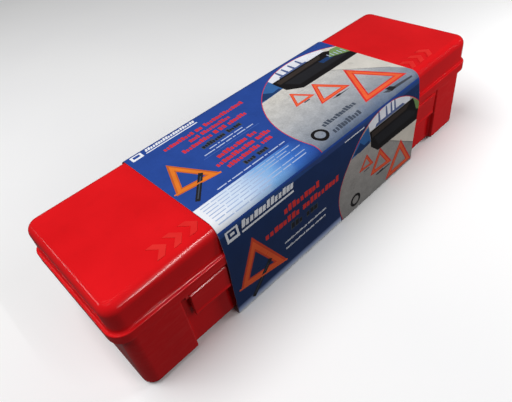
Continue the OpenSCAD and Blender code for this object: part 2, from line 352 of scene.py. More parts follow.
def coated(s, flat, ink):
    """Ink on smooth coated card, with a little fibre showing through."""
    rough = s.between(s.noise(40.0, 2.0, 0.5, flat), 0.26, 0.36)
    fibre = s.bump(s.noise(1900.0, 4.0, 0.6, flat), 0.06, 0.0002)
    s.set(IOR=1.45, Specular_IOR_Level=0.35)
    return s.finish(ink, rough, fibre)


def printed_card():
    """Flat print: the ink comes from the sheet's own colour layer."""
    s = Shade("card_print")
    ink = s.node("Attribute", attribute_name="ink").outputs["Color"]
    flat = s.sheet_place()
    tone = s.between(s.noise(60.0, 2.0, 0.5, flat), 0.93, 1.06)
    grain = s.between(s.noise(400.0, 2.0, 0.5, flat), 0.97, 1.03)
    return coated(s, flat, s.tinted(ink, s.calc("MULTIPLY", tone, grain)))


def gradient_card(name, stops, along, start, end, speckle=0.0):
    """Print that changes tone along the sheet's "x" or "s", between two marks in mm."""
    s = Shade(name)
    flat = s.sheet_place()
    part = s.node("SeparateXYZ", {0: flat}).outputs["xs".index(along)]
    soft = s.between(s.noise(60.0, 3.0, 0.5, flat), -0.04, 0.04)
    part = s.calc("ADD", s.between(part, 0.0, 1.0, start * MM, end * MM), soft)
    tone = s.ramp(part, stops)
    if speckle:
        grit = s.between(s.noise(520.0, 4.0, 0.75, flat), 1 - speckle, 1 + speckle)
        patch = s.between(s.noise(90.0, 5.0, 0.65, flat), 1 - speckle, 1 + speckle)
        tone = s.tinted(tone, s.calc("MULTIPLY", grit, patch))
    return coated(s, flat, tone)


def bare_card(name, low, high):
    """Uncoated board, as inside the sleeve; along its cut edges it is given darker, bluer tones
    that are partly painted shade.
    """
    s = Shade(name)
    pulp = s.noise(700.0, 5.0, 0.7, s.stretched(0.4))
    tone = s.mix(s.between(pulp), low, high)
    rough = s.between(s.noise(200.0, 3.0), 0.75, 0.92)
    return s.finish(tone, rough, s.bump(pulp, 0.3, 0.0002))


RED = case_red()
FROSTED = frosted_red()
WHITE = moulded("arm_white", linear(214, 214, 208), linear(234, 233, 226), 0.35, 0.5)
BLACK = moulded("stand_black", linear(26, 27, 29), linear(44, 45, 48), 0.4, 0.6)
ZINC = metal("zinc_steel", linear(176, 178, 182), linear(214, 214, 216), 0.22, 0.42)
IRON = metal("ballast_iron", linear(82, 84, 88), linear(118, 118, 120), 0.45, 0.65,
             stain=linear(104, 66, 44))
LENS_RED = prism_lens("lens_red", linear(150, 8, 14), linear(226, 24, 30), 0.0042, 0.12)
LENS_ORANGE = prism_lens("lens_orange", linear(236, 84, 14), linear(255, 128, 34), 0.0028, 0.3)
# in the order of the card's material slots; any other ink is flat print
CARD_LOOKS = {
    "flat": printed_card(),
    "band": gradient_card(
        "card_band",
        [(0.0, INKS["white"]), (0.30, linear(206, 222, 242)), (0.58, linear(122, 172, 226)),
         (0.80, linear(60, 112, 196)), (1.0, INKS["blue"])],
        "x", -132.0, -18.0,
    ),
    "road_top": gradient_card(
        "card_road",
        [(0.0, INKS["road_low"]), (0.18, linear(142, 148, 158)), (0.45, INKS["road"]),
         (1.0, INKS["concrete"])],
        "s", 106.0, 205.0, 0.14,
    ),
    "road_front": gradient_card(
        "card_front_road", [(0.0, linear(150, 148, 146)), (1.0, INKS["front_road"])],
        "s", 0.0, 80.0, 0.14,
    ),
    # pale at the foot of the front, darkening to navy over its lowest 9.5 mm
    "foot": gradient_card(
        "card_foot",
        [(0.0, linear(222, 229, 244)), (0.55, linear(150, 168, 214)), (1.0, INKS["navy"])],
        "s", 0.0, 9.5,
    ),
    "board": bare_card("card_board", linear(176, 170, 158), linear(206, 200, 188)),
    # cut edges: darker and bluer than the board, partly its own colour and partly painted shade
    # along the card's edge
    "cut_edge": bare_card("card_cut_side_shade", linear(128, 134, 156), linear(150, 154, 172)),
}


# ---- mesh builders ----
def arc(cx, cy, radius, start, end, steps=ARC_STEPS):
    out = []
    for i in range(steps + 1):
        a = math.radians(start + (end - start) * i / steps)
        out.append((cx + radius * math.cos(a), cy + radius * math.sin(a)))
    return out


def circle(cx, cy, radius, steps):
    return arc(cx, cy, radius, 0, 360, steps)[:-1]


def quarter(steps, first=0):
    """Sine and cosine at even steps of a quarter turn."""
    for i in range(first, steps + 1):
        a = math.radians(90 * i / steps)
        yield math.sin(a), math.cos(a)


def rounded_ends(low, high, edge):
    """Places along an axis, and how far the outline is drawn in there, for two rounded ends."""
    for middle, side in ((low + edge, -1), (high - edge, 1)):
        for i in range(4):
            a = math.radians(90 * i / 3)
            if side < 0:
                a = math.radians(90) - a
            yield middle + side * edge * math.sin(a), edge * (1 - math.cos(a))


def corner_arcs(x, y0, y1, radius):
    """The corners of a rounded rectangle, counter-clockwise from the one at the back right."""
    right, left, front, back = x - radius, radius - x, y0 + radius, y1 - radius
    middles = ((right, back), (left, back), (left, front), (right, front))
    return [arc(cx, cy, radius, 90 * i, 90 * i + 90) for i, (cx, cy) in enumerate(middles)]


def box_ring(x, y0, y1, radius, z):
    return [(px, py, z) for corner in corner_arcs(x, y0, y1, radius) for px, py in corner]


def case_ring(x, y0, y1, radius, z, inset=0.0, recess=RECESS):
    """Outline of the base: a rounded rectangle whose front steps back between the columns.
    Without a recess it keeps as many points, so that the rings still skin."""
    x, y0, y1, radius = x - inset, y0 + inset, y1 - inset, max(radius - inset, 0.3)
    cx = COLUMN_X + inset
    out_r = max(COLUMN_ROUND - inset, 0.2) if recess else 0.0
    in_r = min(COLUMN_ROUND + inset, RECESS - out_r) if recess else 0.0
    back = y0 + recess
    corners = corner_arcs(x, y0, y1, radius)
    ring = sum(corners[:3], [])
    ring += arc(-cx - out_r, y0 + out_r, out_r, 270, 360, 4)
    ring += arc(-cx + in_r, back - in_r, in_r, 180, 90, 4)
    ring += arc(cx - in_r, back - in_r, in_r, 90, 0, 4)
    ring += arc(cx + out_r, y0 + out_r, out_r, 180, 270, 4)
    return [(px, py, z) for px, py in ring + corners[3]]


def loft(bm, rings):
    """Skins closed rings of equal length and caps both ends."""
    rows = [[bm.verts.new(Vector(p) * MM) for p in ring] for ring in rings]
    count = len(rows[0])
    for low, high in zip(rows, rows[1:]):
        for i in range(count):
            j = (i + 1) % count
            bm.faces.new((low[i], low[j], high[j], high[i]))
    bm.faces.new(list(reversed(rows[0])))
    bm.faces.new(rows[-1])


def rounded_block(bm, x0, x1, y0, y1, z0, z1, radius, edge):
    """Block with rounded plan corners and rounded top and bottom edges."""
    cx, half = (x0 + x1) / 2, (x1 - x0) / 2
    rings = []
    for z, inset in rounded_ends(z0, z1, edge):
        corner = max(radius - inset, 0.05)
        ring = box_ring(half - inset, y0 + inset, y1 - inset, corner, z)
        rings.append([(px + cx, py, pz) for px, py, pz in ring])
    loft(bm, rings)


def pulled_in(points, distance):
    """A closed outline moved inwards along its corners' normals."""
    out = []
    count = len(points)
    for i, (px, py) in enumerate(points):
        ax, ay = points[i - 1]
        bx, by = points[(i + 1) % count]
        first = Vector((px - ax, py - ay))
        second = Vector((bx - px, by - py))
        if first.length < 1e-6 or second.length < 1e-6:
            out.append((px, py))
            continue
        n1 = Vector((-first.y, first.x)).normalized()
        n2 = Vector((-second.y, second.x)).normalized()
        n = n1 + n2
        n = n / max(n.length_squared / 2, 0.5)
        out.append((px + n.x * distance, py + n.y * distance))
    return out


def extrude_x(bm, outline, x0, x1, edge):
    """Extrudes a (y, z) outline, counter-clockwise seen from +X, with rounded end edges."""
    rings = []
    for x, inset in rounded_ends(x0, x1, edge):
        rings.append([(x, y, z) for y, z in pulled_in(outline, inset)])
    loft(bm, rings)


def lathe_x(bm, profile, y, z):
    """Turns (x, radius) pairs about an axis along X."""
    rings = []
    for x, radius in profile:
        rings.append([(x, y + py, z + pz) for py, pz in circle(0, 0, radius, 32)])
    loft(bm, rings)


def mesh_of(name, bm):
    mesh = bpy.data.meshes.new(name)
    bm.to_mesh(mesh)
    bm.free()
    return mesh


def add_object(name, data):
    obj = bpy.data.objects.new(name, data)
    bpy.context.scene.collection.objects.link(obj)
    return obj


def piece(name, bm, material, body, node=None):
    """Turns a bmesh into a moulded piece that rides a body and may replace a CAD node."""
    bmesh.ops.remove_doubles(bm, verts=bm.verts, dist=1e-5)
    bmesh.ops.dissolve_degenerate(bm, edges=bm.edges, dist=1e-6)
    mesh = mesh_of(name, bm)
    mesh.shade_smooth()
    mesh.set_sharp_from_angle(angle=SHARP_ANGLE)
    mesh.materials.append(material)
    obj = add_object(name, mesh)
    even = obj.modifiers.new("even_normals", "WEIGHTED_NORMAL")
    even.keep_sharp = True
    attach(obj, body)
    if node:
        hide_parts(node)
    return obj


def cut_away(obj, cutters):
    """Removes closed cutter meshes from a piece's own mesh, before its modifiers."""
    later = list(obj.modifiers)
    for modifier in later:
        modifier.show_viewport = False
    for bm in cutters:
        tool = add_object("cutter", mesh_of("cutter", bm))
        step = obj.modifiers.new("cut", "BOOLEAN")
        step.operation = "DIFFERENCE"
        step.solver = "EXACT"
        step.object = tool
        graph = bpy.context.evaluated_depsgraph_get()
        graph.update()
        made = bpy.data.meshes.new_from_object(obj.evaluated_get(graph))
        obj.modifiers.remove(step)
        obj.data = made
        bpy.data.objects.remove(tool)
    for modifier in later:
        modifier.show_viewport = True


# ---- case ----
def knuckle(bm, x0, x1):
    """Hinge barrel with softened ends."""
    r = KNUCKLE_R
    profile = [(x0, r - 0.5), (x0 + 0.15, r - 0.15), (x0 + 0.5, r)]
    profile += [(x1 - 0.5, r), (x1 - 0.15, r - 0.15), (x1, r - 0.5)]
    lathe_x(bm, profile, HINGE_Y, HINGE_Z)


def build_base():
    bm = bmesh.new()
    outer = (BASE_X, BASE_FRONT, BASE_BACK, BASE_CORNER)
    rings = [case_ring(*outer, BASE_LOW, BASE_FOOT)]
    for sin, cos in quarter(7, 1):
        rings.append(case_ring(*outer, BASE_LOW + BASE_FOOT * (1 - cos), BASE_FOOT * (1 - sin)))
    for z, inset in ((BASE_TOP - 0.6, 0.0), (BASE_TOP - 0.2, 0.15), (BASE_TOP, 0.55)):
        rings.append(case_ring(*outer, z, inset))
    # tongue that the lid closes over, then the cavity down to its floor
    tongue = (TONGUE_X, RECESS_Y, BASE_BACK, BASE_CORNER - 0.5)
    for z, inset in ((BASE_TOP, 0.0), (TONGUE_TOP - 0.8, 0.0), (TONGUE_TOP, 0.7)):
        rings.append(case_ring(*tongue, z, inset, 0.0))
    inner = (BASE_X - WALL, RECESS_Y + 2.5, BASE_BACK - WALL, BASE_CORNER - WALL)
    rings.append(case_ring(*inner, TONGUE_TOP, -0.5, 0.0))
    rings.append(case_ring(*inner, TONGUE_TOP - 0.6, 0.0, 0.0))
    for sin, cos in quarter(5):
        z = FLOOR_Z + FLOOR_FILLET * (1 - sin)
        rings.append(case_ring(*inner, z, FLOOR_FILLET * (1 - cos), 0.0))
    loft(bm, rings)
    # shelf along the recess, open where the latches pass
    shelf = (BASE_FRONT, RECESS_Y + 0.6, SHELF_LOW, BASE_TOP)
    rounded_block(bm, -SHELF_X, SHELF_X, *shelf, 1.0, 0.5)
    for side in (-1, 1):
        x0, x1 = sorted((side * SHELF_END_X, side * (COLUMN_X + 2)))
        rounded_block(bm, x0, x1, *shelf, 0.8, 0.5)
    # stiffening ribs on the recess and rails on the floor
    for x in RECESS_RIBS:
        rounded_block(bm, x - 1.5, x + 1.5, RECESS_Y - 1.6, RECESS_Y + 0.5, *RECESS_RIB_Z, 0.9, 0.7)
    for y in RAILS_Y:
        rounded_block(bm, -RAIL_X, RAIL_X, y - 1, y + 1, FLOOR_Z - 0.2, FLOOR_Z + 8, 0.9, 0.7)
    for side in (-1, 1):
        for offset in BASE_KNUCKLES:
            base_knuckle(bm, side * HINGE_X + offset)
    piece("base_shell", bm, RED, "case", "case_base")


def base_knuckle(bm, x0):
    """A hinge knuckle on its web and gusset."""
    wall = BASE_BACK - 1
    knuckle(bm, x0, x0 + BASE_KNUCKLE_LONG)
    web = [(wall, 68.8), (HINGE_Y, 68.8), (HINGE_Y, 71.4), (wall, 71.4)]
    extrude_x(bm, web, x0 + 0.3, x0 + 17.4, 0.3)
    gusset = [(wall, 60.0), (BASE_BACK + 0.2, 60.0), (HINGE_Y - 0.6, 69.0), (wall, 69.0)]
    extrude_x(bm, gusset, x0 + 7.6, x0 + 10.1, 0.3)


def lid_ring(inset, z):
    return box_ring(LID_X - inset, inset - LID_Y, LID_Y - inset, max(LID_CORNER - inset, 1.0), z)


def build_lid():
    bm = bmesh.new()
    rings = []
    # inside of the lid, from its ceiling down to the rim
    ceiling = CASE_TOP - WALL
    for sin, cos in quarter(5):
        rings.append(lid_ring(WALL + 6 * (1 - sin), ceiling - 6.4 * (1 - cos)))
    rings.append(lid_ring(WALL, RIM_LOW + 0.5))
    rings.append(lid_ring(WALL - 0.5, RIM_LOW))
    for inset, z in ((-2.2, RIM_LOW), (-2.75, RIM_LOW + 0.25), (-RIM_OUT, RIM_LOW + 0.9)):
        rings.append(lid_ring(inset, z))
    # rounded upper edge of the rim, a hollow curve into the wall, then the dome
    for sin, cos in quarter(4):
        inset = -RIM_OUT + RIM_SHOULDER * (1 - cos)
        rings.append(lid_ring(inset, RIM_TOP - RIM_SHOULDER * (1 - sin)))
    for sin, cos in quarter(5, 1):
        rings.append(lid_ring(-RIM_HOLLOW * (1 - sin), RIM_TOP + RIM_HOLLOW * (1 - cos)))
    for sin, cos in quarter(12):
        rings.append(lid_ring(LID_ROUND * (1 - cos), CASE_TOP - LID_ROUND * (1 - sin)))
    loft(bm, rings)
    lid = piece("lid_shell", bm, RED, "lid", "case_lid")
    notches = []
    for side in (-1, 1):
        for offset in LID_NOTCHES:
            notch = bmesh.new()
            x0 = side * HINGE_X + offset
            r = KNUCKLE_R + KNUCKLE_ROOM
            lathe_x(notch, [(x0, r), (x0 + LID_NOTCH_LONG, r)], HINGE_Y, HINGE_Z)
            notches.append(notch)
    cut_away(lid, notches)
    lid.data.set_sharp_from_angle(angle=SHARP_ANGLE)


def build_lid_details():
    """Hinge knuckles, latch ears and inner ribs, then the raised chevrons."""
    bm = bmesh.new()
    web = [(HINGE_Y - 1.2, HINGE_Z + 2.4), (HINGE_Y + 1.2, HINGE_Z + 2.4),
           (HINGE_Y + 1.2, RIM_LOW + 4), (HINGE_Y - 1.2, RIM_LOW + 4)]
    ear = arc(PIN_Y, PIN_Z, EAR_R, 180, 360, 12)
    ear += [(PIN_Y + EAR_R, EAR_TOP), (PIN_Y - EAR_R, EAR_TOP)]
    for side in (-1, 1):
        middle = side * HINGE_X
        knuckle(bm, middle - LID_KNUCKLE_HALF, middle + LID_KNUCKLE_HALF)
        extrude_x(bm, web, middle - 10.8, middle + 10.8, 0.2)
        for offset in EARS:
            x0 = side * LATCH_MID + offset
            extrude_x(bm, ear, x0, x0 + EAR_THICK, 0.35)
    for x in LID_RIBS:
        rounded_block(bm, x - 1.2, x + 1.2, -63.5, 63.5, 104.4, 109.0, 1.0, 0.6)
    piece("lid_details", bm, RED, "lid")
    bm = bmesh.new()
    for side in (-1, 1):
        for x in CHEVRONS_X:
            outline = [(side * x + px, CHEVRONS_Y + py) for px, py in CHEVRON]
            raised(bm, outline, CASE_TOP - 0.3, CASE_TOP + CHEVRON_RISE)
    piece("lid_chevrons", bm, FROSTED, "lid")


def raised(bm, outline, z0, z1):
    """A raised mark with a soft upper edge."""
    rings = []
    for z, inset in ((z0, 0.0), (z1 - 0.3, 0.05), (z1 - 0.08, 0.15), (z1, 0.4)):
        rings.append([(x, y, z) for x, y in pulled_in(outline, inset)])
    loft(bm, rings)


def latch_outline():
    """A latch in (y, z), counter-clockwise: pivot, bevelled shoulder, blade, lip and bead."""
    front = PIN_Y - 4.1
    back = PIN_Y - 0.1
    low = latch_low.z
    foot = front + 0.9
    outline = arc(PIN_Y, PIN_Z, 2.7, 0, 55, 6)
    outline += [(front + 1.9, PIN_Z + 2.2)]
    outline += arc(front + 6.6, PIN_Z - 5.29, 9.0, 126, 136, 4) + [(front, PIN_Z + 0.5)]
    outline += [(foot + y, low + z) for y, z in LATCH_LIP]
    outline += [(back + y, low + z) for y, z in LATCH_BEAD]
    return outline + [(back, 64.2), (PIN_Y + 1.2, 64.9), (PIN_Y + 2.2, 65.8)]


def build_latches():
    outline = latch_outline()
    for side, name in ((-1, "left"), (1, "right")):
        bm = bmesh.new()
        x0 = side * LATCH_MID - LATCH_HALF
        extrude_x(bm, outline, x0, x0 + 2 * LATCH_HALF, 0.6)
        piece(f"latch_tab_{name}", bm, RED, f"latch_{name[0]}", f"latch_{name}")


# ---- the sleeve's folded line ----
FRONT_FOOT = (-69.0, 0.8)
FRONT_FOLD = (-71.4, 72.8)
FRONT_RIM = (-71.4, 83.2)
BACK_Y = 71.4
BEND_Y = 58.5
BEND_Z = 102.4
BEND_R = 10.6
BEND_ANGLE = 83.0
BEND_STEPS = 12


def wrap_path():
    """The cover's outer line in (y, z), from the front foot over the top to the rear seam."""
    points = [FRONT_FOOT, FRONT_FOLD, FRONT_RIM]
    for i in range(BEND_STEPS + 1):
        a = math.radians(BEND_ANGLE * (1 - i / BEND_STEPS))
        points.append((-BEND_Y - BEND_R * math.sin(a), BEND_Z + BEND_R * math.cos(a)))
    back = [(-y, z) for y, z in reversed(points[2:])]
    return points + back + [(BACK_Y, SEAM_Z)]


def lengths_along(path):
    """Length from the start of a line to each of its points."""
    marks = [0.0]
    for a, b in zip(path, path[1:]):
        marks.append(marks[-1] + math.dist(a, b))
    return marks


PATH = wrap_path()
PATH_S = lengths_along(PATH)
FRONT_END = PATH_S[1]
TOP_START = PATH_S[3 + BEND_STEPS]
TOP_END = PATH_S[4 + BEND_STEPS]
BACK_LONG = 21.2  # from the rear rim down to the seam


def on_path(path, marks, s):
    """Point (y, z) at a length along a line."""
    last = len(marks) - 2
    i = next((i for i in range(last) if s <= marks[i + 1] + 1e-6), last)
    t = (s - marks[i]) / (marks[i + 1] - marks[i])
    (ya, za), (yb, zb) = path[i], path[i + 1]
    return Vector((ya + t * (yb - ya), za + t * (zb - za)))


def path_normals(path):
    """Averaged outward normals at a line's points. The line runs front, top, back."""
    flats = []
    for (ya, za), (yb, zb) in zip(path, path[1:]):
        flats.append(Vector((-(zb - za), yb - ya)).normalized())
    out = [flats[0]]
    for a, b in zip(flats, flats[1:]):
        mean = (a + b).normalized()
        out.append(mean / max(mean.dot(a), 0.5))
    return out + [flats[-1]]


def bow(x, s):
    """How far the card sinks between its folds, in mm."""
    across = 0.55 + 0.45 * math.cos(math.pi * x / (2 * SLEEVE_X))
    ripple = 0.06 * math.sin(x / 17.0 + s / 23.0)
    if s < FRONT_END:
        return across * (0.75 + ripple) * math.sin(math.pi * s / FRONT_END) ** 2
    if TOP_START < s < TOP_END:
        t = (s - TOP_START) / (TOP_END - TOP_START)
        return across * (0.4 + ripple) * math.sin(math.pi * t) ** 2
    return 0.0


# ---- print: each shape is (ink, outline), later ones over earlier ones ----
HALF = 137  # just past the card's edges
PRINT_FOLD = 106.3  # where the front's print meets the top's
PRINT_END = 262
TOP_WINDOW = (77.5, 137.5, 97.0)
FRONT_WINDOW = (80.0, 30.0, 74.0)
OUTLINE = 0.7
BLOCK_WIDTH = 0.66
FINE_PRINT = 2.0
BLOCK_HEIGHTS = (1.0, 0.74, 0.9, 0.7, 1.0, 0.8, 0.72)
BLOCK_FILL = (0.8, 0.74, 0.84, 0.68, 0.76, 0.86, 0.7)
# lines of print: from x, to x, s, height, ink, word lengths and, where it isn't usual, the gap
TOP_LINES = (
    (-103.5, -5, 220.7, 5.4, "red", (9, 2.2, 13)),
    (-80, -30, 212.0, 5.0, "red", (3, 9)),
    (-94, -16, 203.6, 5.4, "red", (8, 1, 2, 5.5)),
    (-79.5, -31, 194.6, 6.4, "grey_dark", (7, 4.4)),
    (-78.6, -31.9, 194.6, 4.4, "charcoal", (7, 4.2), 0.8),
    (-75.5, -35, 188.0, 1.2, "pale", (4, 1, 7, 5), 1.2),
    (-85, -25.5, 183.6, 1.2, "pale", (7, 6, 4, 2, 6, 5), 1.2),
    (-89, -21, 179.8, 0.5, "rule", (1,)),
    (-79, -32, 173.0, 5.6, "red", (8, 2.2)),
    (-87.5, -23, 164.4, 5.6, "red", (10.5, 4)),
    (-82, -29, 155.9, 5.4, "red", (9, 3)),
    (-70.5, -42, 147.2, 6.0, "grey_dark", (4, 4)),
    (-69.7, -42.8, 147.2, 4.1, "charcoal", (4, 4), 0.75),
    (-107, -28, 140.4, 1.2, "pale", (6, 2, 7, 5, 8, 2, 7, 4), 1.2),
)
FRONT_LINES = (
    (-69.5, -23, 78.8, 7.6, "front_red", (9,)),
    (-93.8, 4.3, 66.3, 7.8, "front_red", (9, 10.5)),
    (-63, -25.5, 53.6, 9.6, "grey_dark", (4, 4)),
    (-62, -26.5, 53.6, 6.8, "charcoal", (4, 4), 0.7),
    (-72, -13.8, 38.9, 2.6, "white", (9, 8)),
    (-71, -15, 30.2, 2.6, "white", (7.5, 3.4, 4.4)),
    (15, 44, 98.9, 1.1, "white", (3, 5, 3)),
)


def whole_width(ink, s0, s1):
    return (ink, [(-HALF, s0), (HALF, s0), (HALF, s1), (-HALF, s1)])


def bar(ink, x0, x1, s, height):
    low, high = s - height / 2, s + height / 2
    return (ink, [(x0, low), (x1, low), (x1, high), (x0, high)])


def word_bars(x0, x1, s, height, ink, lengths, gap=0.45, slant=0.0):
    """A line of print without letters: each word is a row of plain blocks of uneven height."""
    out = []
    space = height * gap
    room = (x1 - x0) - space * (len(lengths) - 1)
    x = x0
    for number, length in enumerate(lengths):
        width = room * length / sum(lengths)
        blocks = max(1, round(width / (height * BLOCK_WIDTH))) if height > FINE_PRINT else 1
        step = width / blocks
        for i in range(blocks):
            kind = (3 * i + 2 * number + int(s)) % len(BLOCK_HEIGHTS)
            tall = height * BLOCK_HEIGHTS[kind] if blocks > 1 else height
            wide = step * BLOCK_FILL[kind] if blocks > 1 else step
            left, low, lean = x + i * step, s - height / 2, slant * tall
            out.append((ink, [(left, low), (left + wide, low), (left + wide + lean, low + tall),
                              (left + lean, low + tall)]))
        x += width + space
    return out


def lines_of(rows):
    return [shape for row in rows for shape in word_bars(*row)]


def fine_rows():
    """Small print in the pale band."""
    rows = []
    for row, x1 in enumerate((-30, -37, -24, -74, -26, -28, -74)):
        words = [5 + (row * 3 + k * 4) % 5 for k in range(7 if x1 > -60 else 4)]
        rows.append((-131, x1, 133.4 - 3.7 * row, 1.0, "fine_print", words, 1.4))
    return rows


def shrunk(corners, by):
    """A triangle with each side moved inwards."""
    a = sum(corners[i][0] * (corners[(i + 1) % 3][1] - corners[i - 1][1]) for i in range(3))
    loop = corners if a > 0 else list(reversed(corners))
    sides = [math.dist(loop[i - 1], loop[(i + 1) % 3]) for i in range(3)]
    weight = sum(sides)
    cx = sum(sides[i] * loop[i][0] for i in range(3)) / weight
    cs = sum(sides[i] * loop[i][1] for i in range(3)) / weight
    radius = abs(a) / weight
    k = max(1 - by / radius, 0.05)
    return [(cx + (x - cx) * k, cs + (y - cs) * k) for x, y in loop]


def sign(corners, width, outer, core, hole):
    """A warning triangle in print: dark edge, bright core band, open middle."""
    bands = ((core, 0.28), (outer, 0.80), (hole, 1.0))
    return [(outer, corners)] + [(ink, shrunk(corners, width * part)) for ink, part in bands]


def picture_sign(corners, width, road):
    return sign(corners, width, "signal", "signal_core", road)


def slab(ink, x0, s0, x1, s1, width):
    """A straight bar between two points."""
    run = Vector((x1 - x0, s1 - s0)).normalized() * (width / 2)
    side = Vector((-run.y, run.x))
    return (ink, [(x0 + side.x, s0 + side.y), (x0 - side.x, s0 - side.y),
                  (x1 - side.x, s1 - side.y), (x1 + side.x, s1 + side.y)])


def top_picture():
    """A lorry by the road with three warning triangles behind it."""
    blades = []
    for i in range(5):
        x = 114 + i * 4.6
        blades.append(("pale", [(x, 205 - i * 1.6), (x + 1.1, 205 - i * 1.8),
                                (x + 1.4, 211 - i), (x + 0.2, 211 - i)]))
    return [
        ("sky", [(28, 236), (120, 236), (120, 217), (36, 217)]),
        *[("steel_blue", [(x, 231), (x + 2.4, 232), (x + 3.2, 217), (x - 0.8, 217)])
          for x in (53, 62, 72, 84)],
        ("steel_blue", [(50, 221.5), (90, 221.5), (94, 217), (47, 217)]),
        ("cab_blue", [(-2, 201), (12, 214), (24, 222), (37, 228), (37, 203), (20, 202)]),
        ("cab_deep", [(3, 203.5), (17, 213), (24, 206), (34, 207), (35, 203), (12, 202)]),
        ("soot", [(36, 219), (118, 219), (137, 205), (137, 185), (50, 186.5), (36, 198)]),
        ("brown", [(40, 216.5), (110, 217), (104, 211.5), (40, 210)]),
        ("charcoal", [(44, 208), (112, 208), (128, 198), (128, 194), (52, 194)]),
        ("cab_deep", [(98, 208), (112, 208), (116, 202), (99, 202)]),
        ("grass", [(112, 205), (137, 194), (137, 214), (126, 216)]),
        *blades,
        ("concrete", [(92, 185.6), (137, 184), (137, 122), (128, 140)]),
        slab("crack", 91, 186, 129, 138, 0.7),
        slab("road", 20, 186, 92, 181, 0.5),
        bar("shadow", 29, 37, 167.4, 1.6),
        ("shadow", [(48, 149.4), (66, 148.6), (76, 147.6), (56, 147.2)]),
        bar("charcoal", 55, 61.5, 148.8, 2.0),
        ("shadow", [(84, 116.0), (128, 112.6), (128, 110.8), (90, 112.4)]),
        ("charcoal", [(90, 118), (97, 117.6), (102, 112.4), (94, 111.8)]),
        *picture_sign([(32.5, 191), (19, 168.6), (46, 168.6)], 3.0, "road_top"),
        *picture_sign([(58.8, 184.6), (36.5, 151.6), (78.5, 150.6)], 4.6, "road_top"),
        *picture_sign([(98.8, 175.5), (61.5, 119), (126.5, 117.6)], 7.4, "road_top"),
        # a plain ring in the place of a numeral, and two rows of blocks
        ("soot", circle(-2.4, 121.0, 8.4, 20)),
        ("road_top", circle(-2.4, 121.0, 5.2, 20)),
        *word_bars(9, 56, 127.8, 5.8, "grey_dark", [1]),
        *word_bars(9, 48, 115.6, 5.8, "grey_dark", [1]),
    ]


def front_picture():
    """The same picture as on the top, smaller and cut off by the fold."""
    return [
        ("sky", [(48, 105), (124, 105), (118, 89.5), (52, 89.5)]),
        *[("steel_blue", [(x, 103), (x + 2, 103.4), (x + 2.8, 89.5), (x - 0.8, 89.5)])
          for x in (66, 78, 86, 92)],
        ("steel_blue", [(62, 92.6), (106, 92.6), (110, 89.5), (60, 89.5)]),
        ("cab_blue", [(22, 75), (33, 88), (50, 96), (52, 78), (36, 76)]),
        ("cab_deep", [(25, 77), (36, 86), (42, 80), (50, 81), (51, 77), (36, 75)]),
        ("soot", [(51, 89), (124, 89), (139, 77), (139, 55), (66, 58.5), (53, 71)]),
        ("brown", [(54, 87), (118, 87.4), (112, 82), (54, 81)]),
        ("charcoal", [(58, 79), (116, 79), (130, 70), (130, 66), (66, 66)]),
        ("grass", [(124, 89), (139, 77), (139, 68), (131, 73)]),
        ("front_concrete", [(86, 58), (139, 56), (139, 24)]),
        slab("crack", 85, 58.6, 139, 23, 0.8),
        bar("shadow", 45, 54, 43.6, 1.6),
        ("shadow", [(66, 24.6), (92, 23.4), (92, 21.6), (70, 22.0)]),
        bar("charcoal", 73, 80, 23.8, 2.4),
        *picture_sign([(47, 65.6), (36.6, 47.4), (60.5, 45.2)], 3.2, "road_front"),
        *picture_sign([(70, 59), (56.8, 28.6), (95, 25.2)], 5.0, "road_front"),
        *picture_sign([(109.4, 45), (86, 2.4), (135.5, 2.4)], 6.4, "road_front"),
        ("soot", circle(32.5, 13.5, 8.2, 20)),
        ("road_front", circle(32.5, 13.5, 5.0, 20)),
    ]


def top_panel():
    return [
        whole_width("blue", 104, PRINT_END),
        ("band", [(-HALF, PRINT_FOLD), (-13, PRINT_FOLD), (-18, 121), (-20, 136.4),
                  (-HALF, 136.4)]),
        # header: a plain square mark, a row of blocks and a rule
        bar("white", -131, -119, 233.6, 8.0),
        bar("blue", -128.6, -121.4, 234.0, 3.6),
        *word_bars(-115, -57, 235.4, 4.4, "white", [1], slant=0.3),
        bar("white", -116, -56, 230.9, 1.4),
        *sign([(-115, 202), (-133, 161), (-90, 154)], 6.4, "orange_deep", "orange", "blue"),
        slab("charcoal", -102, 168.5, -126, 142.5, 4.4),
        slab("grey_dark", -105, 165.0, -124, 144.8, 1.0),
        slab("orange", -134, 163.4, -90, 155.4, 1.6),
        *lines_of(TOP_LINES),
        *lines_of(fine_rows()),
    ]


def front_panel():
    return [
        whole_width("navy", -1, 100),
        whole_width("bend_blue", 100, PRINT_FOLD),
        ("navy_light", [(-20, 99), (60, 99), (20, PRINT_FOLD), (-60, PRINT_FOLD)]),
        ("foot", [(-HALF, -1), (9, -1), (8, 9), (-HALF, 9)]),
        # header: a plain square mark, a row of blocks and a rule
        bar("white", -130.6, -117.4, 96.4, 11.6),
        bar("navy", -128.4, -119.6, 97.0, 7.0),
        bar("white", -126.2, -121.8, 97.0, 2.6),
        *word_bars(-114.5, -54, 98.6, 7.0, "white", [1], slant=0.3),
        bar("white", -115, -55, 91.8, 2.0),
        *sign([(-108, 80), (-129, 27), (-71, 14.6)], 8.4, "front_deep", "front_orange", "navy"),
        slab("charcoal", -91, 35.5, -117, 5.0, 5.0),
        slab("grey_dark", -94, 32.0, -115, 7.4, 1.2),
        slab("front_orange", -130.6, 28.6, -71, 15.6, 2.0),
        *lines_of(FRONT_LINES),
    ]


def rear_panel():
    """The plain panels under the case and up its back, with a few lines of small print."""
    rows = [(-58, 58 - 9 * (i % 3), 42.0 + 0.01 * i - i * 4.2, 1.2, "pale", (5, 3, 7, 4, 6))
            for i in range(5)]
    return [
        whole_width("blue", -1, 300),
        bar("pale", -60, 60, 30.0, 0.8),
        *lines_of(rows),
    ]


def placed(where, shapes):
    """Adds to each shape what it is cut off by: nothing, or a side of the fold and a circle."""
    return [(ink, outline, where) for ink, outline in shapes]


